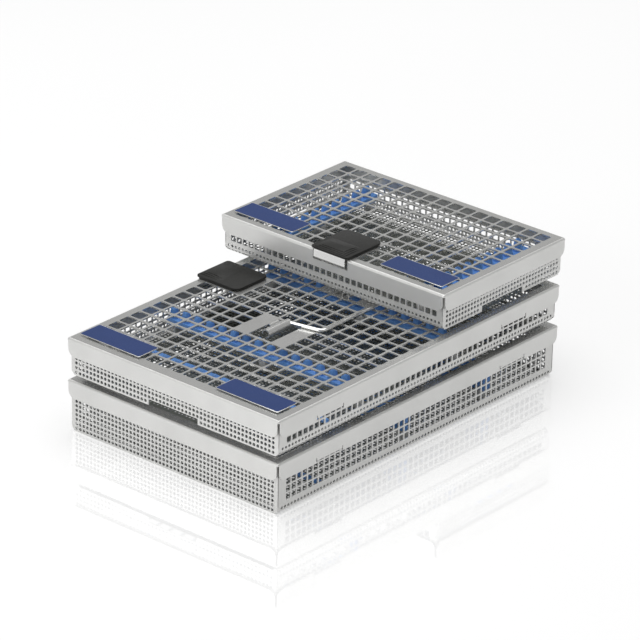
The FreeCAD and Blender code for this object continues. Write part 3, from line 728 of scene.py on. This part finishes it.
def add_clip(piece, box, sign):
    """A tongue cut free from the lid: it dips, runs on as a narrow leaf and curls round the pin."""
    top = WIRE_RADIUS * 2 + RUNNING_GAP + SHEET
    outer = (top + SHEET + CLIP_DIP) / 2
    fall = CLIP_DIP - 2 * CLIP_TURN * (1 - math.cos(CLIP_SLOPE))
    ramp = straight(fall / math.sin(CLIP_SLOPE))
    dip = [bend(CLIP_TURN, CLIP_SLOPE), ramp, bend(CLIP_TURN, -CLIP_SLOPE)]
    used = 2 * CLIP_TURN * math.sin(CLIP_SLOPE) + fall / math.tan(CLIP_SLOPE)
    section = Profile(
        (CLIP_ROOT, box.height - SHEET), math.pi,
        [*dip, straight(CLIP_ROOT - used), bend(outer, -CLIP_CURL)], inner=-1,
    )
    middle = CLIP_MIDDLE * sign
    half = CLIP_LENGTH / 2

    def place(u, v, depth):
        across, up = section.at(v, depth)
        return np.column_stack([middle + u, across, up])

    edge = sign * (CLIP_LEAF - half)
    marks = sorted([-half, edge, half])
    leaf_end = sum(length for length, _ in dip) + CLIP_ROOT - used

    def kind(u, v):
        return SOLID if v > leaf_end or (u - edge) * sign < 0 else EMPTY

    sheet = Sheet()
    sheet.grid(marks, lines(section.lines(0.2), leaf_end), kind)
    piece.add(*sheet.fold(place))


def build_lid(box):
    piece = Piece(box, "lid_sheet", STEEL, SKIRT_STEEL)
    add_plate(piece, box)
    for side in range(4):
        add_skirt(piece, box, side)
    add_corners(piece, box)
    if box.large:
        for sign in (-1, 1):
            add_clip(piece, box, sign)
    return piece.finish("lid", "steel", "lid")


# Shapes with rounded edges

def rounded_prism(outline, low, high, radius, plane="xy", segments=2, sharp=0.35):
    """Points and faces of an outline drawn out between two levels, with its edges rounded."""
    edit = bmesh.new()
    order = {"xy": lambda a, b, c: (a, b, c), "yz": lambda a, b, c: (c, a, b)}[plane]
    loops = [[edit.verts.new(order(a, b, level)) for a, b in outline] for level in (low, high)]
    edit.faces.new(loops[0][::-1])
    edit.faces.new(loops[1])
    count = len(outline)
    for k in range(count):
        following = (k + 1) % count
        edit.faces.new((loops[0][k], loops[0][following], loops[1][following], loops[1][k]))
    edit.normal_update()
    edges = [edge for edge in edit.edges if edge.calc_face_angle(0.0) > sharp]
    bmesh.ops.bevel(edit, geom=edges, offset=radius, segments=segments, profile=0.5, affect="EDGES",
                    clamp_overlap=True)
    edit.verts.index_update()
    points = [tuple(vert.co) for vert in edit.verts]
    faces = [tuple(vert.index for vert in face.verts) for face in edit.faces]
    edit.free()
    return points, faces


def rounded_rectangle(x0, y0, x1, y1, radii, steps=5):
    """Outline with a radius for each corner, anticlockwise from (x0, y0)."""
    corners = ((x0, y0, 1, 1), (x1, y0, -1, 1), (x1, y1, -1, -1), (x0, y1, 1, -1))
    points = []
    for number, ((x, y, in_x, in_y), radius) in enumerate(zip(corners, radii)):
        if not radius:
            points.append((x, y))
            continue
        for k in range(steps + 1):
            angle = math.pi + QUARTER * (number + k / steps)
            points.append((x + radius * (in_x + math.cos(angle)),
                           y + radius * (in_y + math.sin(angle))))
    return points


# Latch

LATCH_LENGTH, LATCH_PROUD, LATCH_BASE, LATCH_RISE, LATCH_CORNER = 35.5, 1.6, 2.35, 3.5, 4.0
LATCH_HALF, HOOK_HALF, HOOK_REACH, HOOK_DROP, HOOK_TOE = 15.5, 13.0, 24.0, 6.8, 1.8
OUTER_CORNER, GRIP_EDGE = 2.2, 0.35
RAIL_INSET, RAIL_CORNER, RAIL_EDGE, RAIL_SUNK = 0.1, 0.5, 0.1, 0.3
WEDGE_LAYERS, WEDGE_HALF, WEDGE_REACH, WEDGE_FLAT = 3, 12.6, 18.5, 7.5
WEDGE_SIDE_STEP, WEDGE_FRONT_STEP, WEDGE_INSET = 1.7, 1.6, 1.0
WEDGE_SUNK, WEDGE_HEEL, WEDGE_EDGE, WEDGE_SHARP = 0.3, 0.03, 0.16, 0.12
HOOK_BEND, TOE_TRIM = 0.5, 0.3
RIDGES, RIDGE_LEAN, RIDGE_FACE, RIDGE_RETURN = 3, math.radians(24), 1.3, 0.6
RIDGE_BEND = 0.04


def build_slider(box):
    """Black slider: two rails, a base plate with rounded corners and a stepped thumb wedge."""
    piece = Piece(box, "latch_grip", BLACK)
    outer = box.width / 2 + LATCH_PROUD
    inner = outer - LATCH_LENGTH
    deck = box.height + RUNNING_GAP
    low = box.height + LATCH_BASE
    radii = (LATCH_CORNER, LATCH_CORNER, OUTER_CORNER, OUTER_CORNER)
    outline = rounded_rectangle(-LATCH_HALF, inner, LATCH_HALF, outer, radii)
    piece.add(*rounded_prism(outline, deck + SHEET, low, GRIP_EDGE))
    rail = LATCH_HALF - HOOK_HALF - RUNNING_GAP
    for x in (-LATCH_HALF + RAIL_INSET, LATCH_HALF - rail - RAIL_INSET):
        runner = rounded_rectangle(x, inner + LATCH_CORNER, x + rail, outer - OUTER_CORNER,
                                   (RAIL_CORNER,) * 4, 2)
        piece.add(*rounded_prism(runner, deck, deck + SHEET + RAIL_SUNK, RAIL_EDGE, segments=1))
    layer = (LATCH_RISE - LATCH_BASE) / WEDGE_LAYERS
    back = outer - WEDGE_REACH
    foot = low - WEDGE_SUNK
    for number in range(WEDGE_LAYERS):
        half = WEDGE_HALF - WEDGE_SIDE_STEP * number
        front = outer - WEDGE_INSET - WEDGE_FRONT_STEP * number
        top = low + layer * (number + 1)
        wedge = [(back, foot), (front, foot), (front, top), (front - WEDGE_FLAT, top),
                 (back, low + WEDGE_HEEL)]
        piece.add(*rounded_prism(wedge, -half, half, WEDGE_EDGE, "yz", sharp=WEDGE_SHARP))
    return piece.finish("latch", "black_plastic", "latch_slider")


def build_hook(box):
    """Polished strip: leg under the slider, a ridged face in the skirt's window and a toe."""
    piece = Piece(box, "latch_strip", POLISHED)
    face = box.width / 2 + RUNNING_GAP + SHEET
    top = box.height + RUNNING_GAP + SHEET
    start = box.width / 2 - HOOK_REACH
    radius = SHEET + HOOK_BEND
    foot = box.height - HOOK_DROP
    back = math.asin(math.sin(RIDGE_LEAN) * RIDGE_FACE / RIDGE_RETURN)
    ridge_drop = RIDGE_FACE * math.cos(RIDGE_LEAN) + RIDGE_RETURN * math.cos(back)
    runs = [straight(face - radius - start), bend(radius, -QUARTER)]
    for _ in range(RIDGES):
        runs += [bend(RIDGE_BEND, RIDGE_LEAN), straight(RIDGE_FACE),
                 bend(RIDGE_BEND, -RIDGE_LEAN - back), straight(RIDGE_RETURN), bend(RIDGE_BEND, back)]
    runs += [straight(top - foot - 2 * radius - RIDGES * ridge_drop), bend(radius, -QUARTER),
             straight(HOOK_TOE - TOE_TRIM)]
    section = Profile((start, top), 0.0, runs, inner=-1)

    def place(u, v, depth):
        across, up = section.at(v, depth)
        return np.column_stack([u, across, up])

    sheet = Sheet()
    sheet.grid([-HOOK_HALF, HOOK_HALF], section.lines(0.2))
    piece.add(*sheet.fold(place, flip=True))
    return piece.finish("latch", "polished_wire", "latch_hook")


# Handle

ARM_GAP, ARM_SLANT, PIN_CORNER, GRIP_CORNER = 4.0, 5.0, 2.6, 4.0
TUBE_SIDES, TUBE_STEP = 14, 0.13


def build_handle(box):
    """Bent wire handle with rounded ends and one slanted arm; both pins point the same way."""
    piece = Piece(box, "handle_wire", POLISHED)
    low, high = box.local_box("handle")
    radius = WIRE_RADIUS
    level = (low[2] + high[2]) / 2
    left_arm = -CLIP_MIDDLE + CLIP_LENGTH / 2 + ARM_GAP
    right_arm = high[0] - radius
    reach = -(low[1] + radius)
    pin = left_arm - low[0]
    slant = math.atan2(ARM_SLANT, reach)
    steep = QUARTER - slant
    pin_cut = PIN_CORNER * math.tan(steep / 2)
    grip_cut = GRIP_CORNER * math.tan(steep / 2)
    path = Profile((low[0] + radius, 0.0), 0.0, [
        straight(pin - radius - ARM_SLANT - pin_cut), bend(PIN_CORNER, -steep),
        straight(reach / math.cos(slant) - pin_cut - grip_cut), bend(GRIP_CORNER, steep),
        straight(right_arm - left_arm - grip_cut - GRIP_CORNER), bend(GRIP_CORNER, QUARTER),
        straight(reach - PIN_CORNER - GRIP_CORNER), bend(PIN_CORNER, QUARTER),
        straight(pin - radius - PIN_CORNER),
    ])
    marks = np.array(path.lines(TUBE_STEP))
    centre = np.column_stack(path.at(marks))
    side = np.column_stack(path.at(marks, 1.0)) - centre
    scale = np.ones(len(marks))
    dome = np.linspace(0, QUARTER, 5)[1:]
    cap = np.array([[-math.sin(a) * radius, 0.0] for a in dome[::-1]])
    centre = np.vstack([centre[0] + cap, centre, centre[-1] + cap[::-1]])
    side = np.vstack([np.repeat(side[:1], len(dome), 0), side, np.repeat(side[-1:], len(dome), 0)])
    scale = np.concatenate([np.cos(dome[::-1]), scale, np.cos(dome)])
    turns = 2 * math.pi * np.arange(TUBE_SIDES) / TUBE_SIDES
    points = []
    for middle, aside, size in zip(centre, side, scale):
        for angle in turns:
            offset = aside * radius * size * math.cos(angle)
            points.append((middle[0] + offset[0], middle[1] + offset[1],
                           level + radius * size * math.sin(angle)))
    faces = []
    for ring in range(len(centre) - 1):
        for k in range(TUBE_SIDES):
            a, b = ring * TUBE_SIDES + k, ring * TUBE_SIDES + (k + 1) % TUBE_SIDES
            faces.append((a, b, b + TUBE_SIDES, a + TUBE_SIDES))
    piece.add(points, faces)
    return piece.finish("handle", "polished_wire", "handle")


# Label plates

LABEL_SHEET, LABEL_RIM, LABEL_CORNER, LABEL_EDGE = 0.55, 0.45, 1.0, 0.12
ENAMEL_PROUD, ENAMEL_DEPTH, ENAMEL_EDGE = 0.06, 0.2, 0.05
TONGUE_INSET, TONGUE_HALF, TONGUE_CORNER, TONGUE_EDGE, TONGUE_SUNK = 8.0, 2.5, 0.2, 0.1, 0.1


def build_label(box, name):
    """Steel plate with a blue enamelled face, held above the grid by two tongues."""
    piece = Piece(box, f"label_plate_{name}", POLISHED, BLUE)
    low, high = box.local_box(f"label_{name}")
    top = high[2]
    corners = (LABEL_CORNER,) * 4
    plate = rounded_rectangle(low[0], low[1], high[0], high[1], corners)
    piece.add(*rounded_prism(plate, top - LABEL_SHEET, top - ENAMEL_PROUD, LABEL_EDGE))
    rim = LABEL_RIM
    enamel = rounded_rectangle(low[0] + rim, low[1] + rim, high[0] - rim, high[1] - rim, corners)
    piece.add(*rounded_prism(enamel, top - ENAMEL_DEPTH, top, ENAMEL_EDGE, segments=1), 1)
    across = 0 if box.large else 1
    along = 1 - across
    line = low[across] + TONGUE_INSET if box.large else high[across] - TONGUE_INSET
    tongue_top = top - LABEL_SHEET + TONGUE_SUNK
    for share in (0.25, 0.75):
        middle = low[along] + (high[along] - low[along]) * share
        ends = [(line - SHEET / 2, line + SHEET / 2), (middle - TONGUE_HALF, middle + TONGUE_HALF)]
        if across == 1:
            ends.reverse()
        tongue = rounded_rectangle(ends[0][0], ends[1][0], ends[0][1], ends[1][1],
                                   (TONGUE_CORNER,) * 4, 1)
        piece.add(*rounded_prism(tongue, low[2], tongue_top, TONGUE_EDGE, segments=1))
    return piece.finish("lid", "blue_plate", f"label_{name}")


# Silicone racks

FINGER_FOOT, FINGER_HEAD, FINGER_PITCH, FINGER_RISE = 3.7, 2.5, 10.25, 8.5
FINGER_SIDES, FINGER_SUNK = 12, 0.5
RACK_WIDTH, RACK_LEG, RACK_FEET, RACK_HEADROOM = 8.0, 8.0, 3, 3.5
RACK_CORNER, RACK_EDGE = 1.2, 0.5
LOW_RACK, LOW_FINGER, LOW_RACK_WIDTH = 1.5, 1.2, 5.0
POST_INSET, POST_HALF, POST_CORNER, POST_EDGE, POST_SUNK = 1.0, 3.0, 0.8, 0.2, 0.6


def add_finger(piece, x, y, low, high):
    """An upright finger that tapers to a domed head."""
    dome = np.linspace(0, QUARTER, 5)[:-1]
    rings = [(min(FINGER_FOOT, (high - low) * 0.9), low)]
    rings += [(FINGER_HEAD * math.cos(a), high - FINGER_HEAD + FINGER_HEAD * math.sin(a)) for a in dome]
    turns = 2 * math.pi * np.arange(FINGER_SIDES) / FINGER_SIDES
    points = [(x + r * math.cos(a), y + r * math.sin(a), z) for r, z in rings for a in turns]
    faces = []
    for ring in range(len(rings) - 1):
        for k in range(FINGER_SIDES):
            a, b = ring * FINGER_SIDES + k, ring * FINGER_SIDES + (k + 1) % FINGER_SIDES
            faces.append((a, b, b + FINGER_SIDES, a + FINGER_SIDES))
    top = len(points)
    points.append((x, y, high))
    last = (len(rings) - 1) * FINGER_SIDES
    faces += [(last + k, last + (k + 1) % FINGER_SIDES, top) for k in range(FINGER_SIDES)]
    faces.append(tuple(range(FINGER_SIDES))[::-1])
    piece.add(points, faces)


def build_rack(box, name):
    """Silicone comb with round-headed fingers, low on the floor or tall on steel feet."""
    piece = Piece(box, f"rack_comb_{name}", SILICONE, TRAY_STEEL)
    low, high = box.local_box(f"rack_{name}")
    tall = name != "left" or not box.large
    half = (RACK_WIDTH if tall else LOW_RACK_WIDTH) / 2
    middle = high[0] - half if tall else (low[0] + high[0]) / 2
    foot = low[2] + RACK_LEG if tall else low[2]
    crown = box.height - RACK_HEADROOM if tall else low[2] + LOW_RACK + LOW_FINGER
    shoulder = crown - FINGER_RISE if tall else low[2] + LOW_RACK
    bar = rounded_rectangle(middle - half, low[1], middle + half, high[1], (RACK_CORNER,) * 4, 3)
    piece.add(*rounded_prism(bar, foot, shoulder, RACK_EDGE))
    centre = (low[1] + high[1]) / 2
    length = high[1] - low[1]
    if tall:
        for k in range(RACK_FEET):
            y = centre + (k - (RACK_FEET - 1) / 2) * (length - RACK_WIDTH) / (RACK_FEET - 1)
            post = rounded_rectangle(middle - half + POST_INSET, y - POST_HALF,
                                     middle + half - POST_INSET, y + POST_HALF, (POST_CORNER,) * 4, 2)
            piece.add(*rounded_prism(post, low[2], foot + POST_SUNK, POST_EDGE, segments=1), 1)
    count = int((length - 2 * FINGER_FOOT) / FINGER_PITCH) + 1
    for k in range(count):
        y = centre + (k - (count - 1) / 2) * FINGER_PITCH
        add_finger(piece, middle, y, shoulder - FINGER_SUNK, crown)
    return piece.finish("tray", "silicone", f"rack_{name}")


RACKS = {
    "bottom": ("left", "middle", "right"),
    "middle": ("left", "middle", "right"),
    "top": ("left", "right"),
}
for container in (BOTTOM, MIDDLE, TOP):
    build_tray(container)
    build_lid(container)
    build_slider(container)
    build_hook(container)
    if container.large:
        build_handle(container)
    for label in ("left", "right"):
        build_label(container, label)
    for rack in RACKS[container.name]:
        build_rack(container, rack)
    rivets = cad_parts[f"{container.name}_latch_rivets"]
    rivets.data.materials.clear()
    rivets.data.materials.append(STEEL)


# Floor, light and camera

FLOOR_MIRROR = 0.4
FLOOR_LIFT = 0.345


def make_floor():
    """Glossy pale ground, a little below the lowest tray."""
    material, nodes, links, shader = new_material("floor_gloss")
    cloud = noise_node(nodes, links, 2.0, 2.0)
    links.new(ramp_node(nodes, links, cloud, grey(0.9), grey(0.92)), shader.inputs["Base Color"])
    polish = noise_node(nodes, links, 6.0, 2.0)
    links.new(ramp_node(nodes, links, polish, grey(0.03), grey(0.05)), shader.inputs["Roughness"])
    shader.inputs["Metallic"].default_value = FLOOR_MIRROR
    rays = nodes.new("ShaderNodeLightPath")
    seen = nodes.new("ShaderNodeMath")
    seen.operation = "MAXIMUM"
    links.new(rays.outputs["Is Camera Ray"], seen.inputs[0])
    links.new(rays.outputs["Is Glossy Ray"], seen.inputs[1])
    glow = nodes.new("ShaderNodeEmission")
    glow.inputs["Color"].default_value = (*grey(FLOOR_LIFT), 1)
    links.new(seen.outputs["Value"], glow.inputs["Strength"])
    both = nodes.new("ShaderNodeAddShader")
    links.new(shader.outputs["BSDF"], both.inputs[0])
    links.new(glow.outputs["Emission"], both.inputs[1])
    links.new(both.outputs["Shader"], nodes["Material Output"].inputs["Surface"])
    half = 12.0
    below = -0.0001
    corners = [(-half, -half, below), (half, -half, below), (half, half, below), (-half, half, below)]
    mesh = bpy.data.meshes.new("floor")
    mesh.from_pydata(corners, [], [(0, 1, 2, 3)])
    mesh.materials.append(material)
    floor = bpy.data.objects.new("floor", mesh)
    bpy.context.scene.collection.objects.link(floor)


def add_light(name, place, target, size, power):
    data = bpy.data.lights.new(name, "AREA")
    data.shape = "SQUARE"
    data.size = size
    data.energy = power
    light = bpy.data.objects.new(name, data)
    light.location = place
    light.rotation_euler = (Vector(target) - Vector(place)).to_track_quat("-Z", "Y").to_euler()
    bpy.context.scene.collection.objects.link(light)


SKY = ((0.0, 0.85), (0.18, 0.8), (0.33, 0.38), (0.75, 0.38), (1.0, 0.6))


def make_world():
    """Plain studio: pale near the horizon, dimmer above, brighter again overhead."""
    world = bpy.data.worlds.new("studio")
    world.use_nodes = True
    nodes, links = world.node_tree.nodes, world.node_tree.links
    place = nodes.new("ShaderNodeTexCoord")
    split = nodes.new("ShaderNodeSeparateXYZ")
    ramp = nodes.new("ShaderNodeValToRGB")
    elements = ramp.color_ramp.elements
    for number, (height, value) in enumerate(SKY):
        element = elements[number] if number < 2 else elements.new(height)
        element.position = height
        element.color = (*grey(value), 1)
    links.new(place.outputs["Generated"], split.inputs["Vector"])
    links.new(split.outputs["Z"], ramp.inputs["Fac"])
    links.new(ramp.outputs["Color"], nodes["Background"].inputs["Color"])
    nodes["Background"].inputs["Strength"].default_value = 1.0
    bpy.context.scene.world = world


CAMERA_TARGET = Vector((0.0, 0.0, 0.040))
CAMERA_AZIMUTH, CAMERA_ELEVATION, CAMERA_ROLL = map(math.radians, (-49.64, 24.87, 1.13))
CAMERA_DISTANCE = 2.81069
CAMERA_ASIDE, CAMERA_ABOVE = 0.00214, 0.01593
CAMERA_LENS = 248.03


def make_camera():
    """Long lens at the photograph's angle, moved aside and up to place the stack in the frame."""
    azimuth, elevation = CAMERA_AZIMUTH, CAMERA_ELEVATION
    level = math.cos(elevation)
    back = Vector((math.sin(azimuth) * level, -math.cos(azimuth) * level, math.sin(elevation)))
    right = Vector((0, 0, 1)).cross(back).normalized()
    up = back.cross(right)
    cosine, sine = math.cos(CAMERA_ROLL), math.sin(CAMERA_ROLL)
    right, up = right * cosine + up * sine, up * cosine - right * sine
    data = bpy.data.cameras.new("camera")
    data.sensor_width = 36.0
    data.lens = CAMERA_LENS
    data.clip_end = 100.0
    camera = bpy.data.objects.new("camera", data)
    turn = Matrix((right, up, back)).transposed().to_4x4()
    place = CAMERA_TARGET + right * CAMERA_ASIDE + up * CAMERA_ABOVE + back * CAMERA_DISTANCE
    camera.matrix_world = Matrix.Translation(place) @ turn
    bpy.context.scene.collection.objects.link(camera)
    bpy.context.scene.camera = camera


make_floor()
make_world()
add_light("overhead", (0.2, 0.3, 2.2), (0, 0, 0), 2.4, 34.0)
add_light("left", (-2.2, 0.6, 1.0), (0, 0, 0), 1.2, 13.0)
make_camera()
bpy.context.scene.view_settings.view_transform = "Standard"
